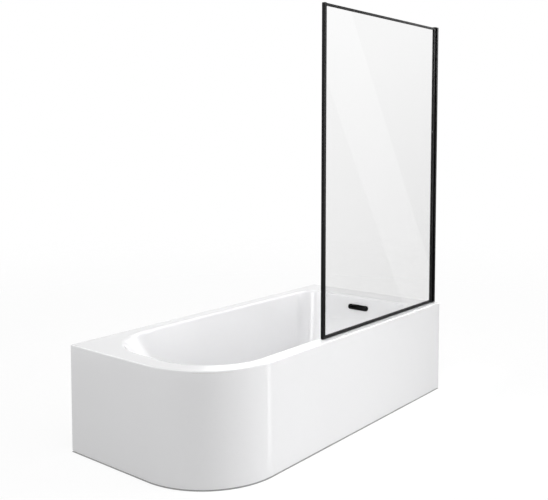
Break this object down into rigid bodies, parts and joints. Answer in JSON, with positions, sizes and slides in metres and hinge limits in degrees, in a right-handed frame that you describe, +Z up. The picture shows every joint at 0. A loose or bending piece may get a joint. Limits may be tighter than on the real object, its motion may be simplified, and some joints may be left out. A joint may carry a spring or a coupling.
{
  "type": "shower bath",
  "caption": "Corner shower bath with a curved one-piece apron, levelling feet, waste and overflow, and a framed glass screen that swings on a wall profile.",
  "frame": {"origin": "on the floor, below the middle of the bath's length and width", "axes": "+X along the bath to the wall that carries the screen, +Y to the wall behind, +Z up"},
  "size_m": [1.7, 0.8, 1.85],
  "materials": {
    "white_acrylic": "glossy cast acrylic",
    "timber": "raw board and batten",
    "galvanised_steel": "galvanised",
    "black_plastic": "moulded black polypropylene",
    "black_metal": "matt black coating",
    "pipe_plastic": "moulded white polypropylene",
    "black_rubber": "moulded",
    "pivot_steel": "turned",
    "bush_plastic": "moulded acetal",
    "black_aluminium": "matt black powder coat",
    "clear_glass": "clear toughened"
  },
  "bodies": {
    "bath": {"bath_shell": "white_acrylic", "apron_panel": "white_acrylic", "base_board": "timber", "rim_batten_back": "timber", "rim_batten_front": "timber", "deck_board": "timber", "leg_channel_left": "galvanised_steel", "leg_channel_middle": "galvanised_steel", "leg_channel_right": "galvanised_steel", "apron_stay_left": "galvanised_steel", "apron_stay_middle": "galvanised_steel", "apron_stay_right": "galvanised_steel", "channel_screws": "galvanised_steel", "foot_nuts": "galvanised_steel", "overflow_body": "black_plastic", "overflow_cover": "black_metal", "waste_flange": "black_metal", "bottom_pivot_block": "black_metal", "top_pivot_block": "black_metal", "overflow_pipe": "pipe_plastic", "overflow_nut": "pipe_plastic", "waste_body": "pipe_plastic", "trap_nut": "pipe_plastic", "trap_body": "pipe_plastic", "outlet_nut": "pipe_plastic", "outlet_pipe": "pipe_plastic", "overflow_gasket": "black_rubber", "waste_gasket": "black_rubber", "bottom_pivot_pin": "pivot_steel", "top_pivot_pin": "pivot_steel", "post_screws": "pivot_steel", "wall_profile": "black_aluminium", "pivot_post": "black_aluminium"},
    "screen": {"hinge_stile": "black_aluminium", "free_stile": "black_aluminium", "top_rail": "black_aluminium", "bottom_rail": "black_aluminium", "stile_cap": "black_aluminium", "glass_panel": "clear_glass", "glazing_gasket": "black_rubber", "bottom_seal": "black_rubber", "bottom_pivot_bush": "bush_plastic", "top_pivot_bush": "bush_plastic"},
    "plug": {"plug_cap": "black_metal", "plug_seal": "black_rubber", "plug_stem": "pivot_steel"},
    "foot_left_front": {"foot_pad_left_front": "black_plastic", "foot_stud_left_front": "galvanised_steel"},
    "foot_left_back": {"foot_pad_left_back": "black_plastic", "foot_stud_left_back": "galvanised_steel"},
    "foot_middle_front": {"foot_pad_middle_front": "black_plastic", "foot_stud_middle_front": "galvanised_steel"},
    "foot_middle_back": {"foot_pad_middle_back": "black_plastic", "foot_stud_middle_back": "galvanised_steel"},
    "foot_right_front": {"foot_pad_right_front": "black_plastic", "foot_stud_right_front": "galvanised_steel"},
    "foot_right_back": {"foot_pad_right_back": "black_plastic", "foot_stud_right_back": "galvanised_steel"}
  },
  "joints": [
    {"name": "screen_swing", "type": "hinge", "parent": "bath", "child": "screen", "pos_m": [0.826, -0.36, 0.453], "axis": [0, 0, 1], "range_deg": [-45, 90]},
    {"name": "plug_lift", "type": "slide", "parent": "bath", "child": "plug", "axis": [0, 0, 1], "range_m": [0, 0.008]},
    {"name": "foot_left_front_level", "type": "slide", "parent": "bath", "child": "foot_left_front", "axis": [0, 0, -1], "range_m": [0, 0.02]},
    {"name": "foot_left_back_level", "type": "slide", "parent": "bath", "child": "foot_left_back", "axis": [0, 0, -1], "range_m": [0, 0.02]},
    {"name": "foot_middle_front_level", "type": "slide", "parent": "bath", "child": "foot_middle_front", "axis": [0, 0, -1], "range_m": [0, 0.02]},
    {"name": "foot_middle_back_level", "type": "slide", "parent": "bath", "child": "foot_middle_back", "axis": [0, 0, -1], "range_m": [0, 0.02]},
    {"name": "foot_right_front_level", "type": "slide", "parent": "bath", "child": "foot_right_front", "axis": [0, 0, -1], "range_m": [0, 0.02]},
    {"name": "foot_right_back_level", "type": "slide", "parent": "bath", "child": "foot_right_back", "axis": [0, 0, -1], "range_m": [0, 0.02]}
  ]
}
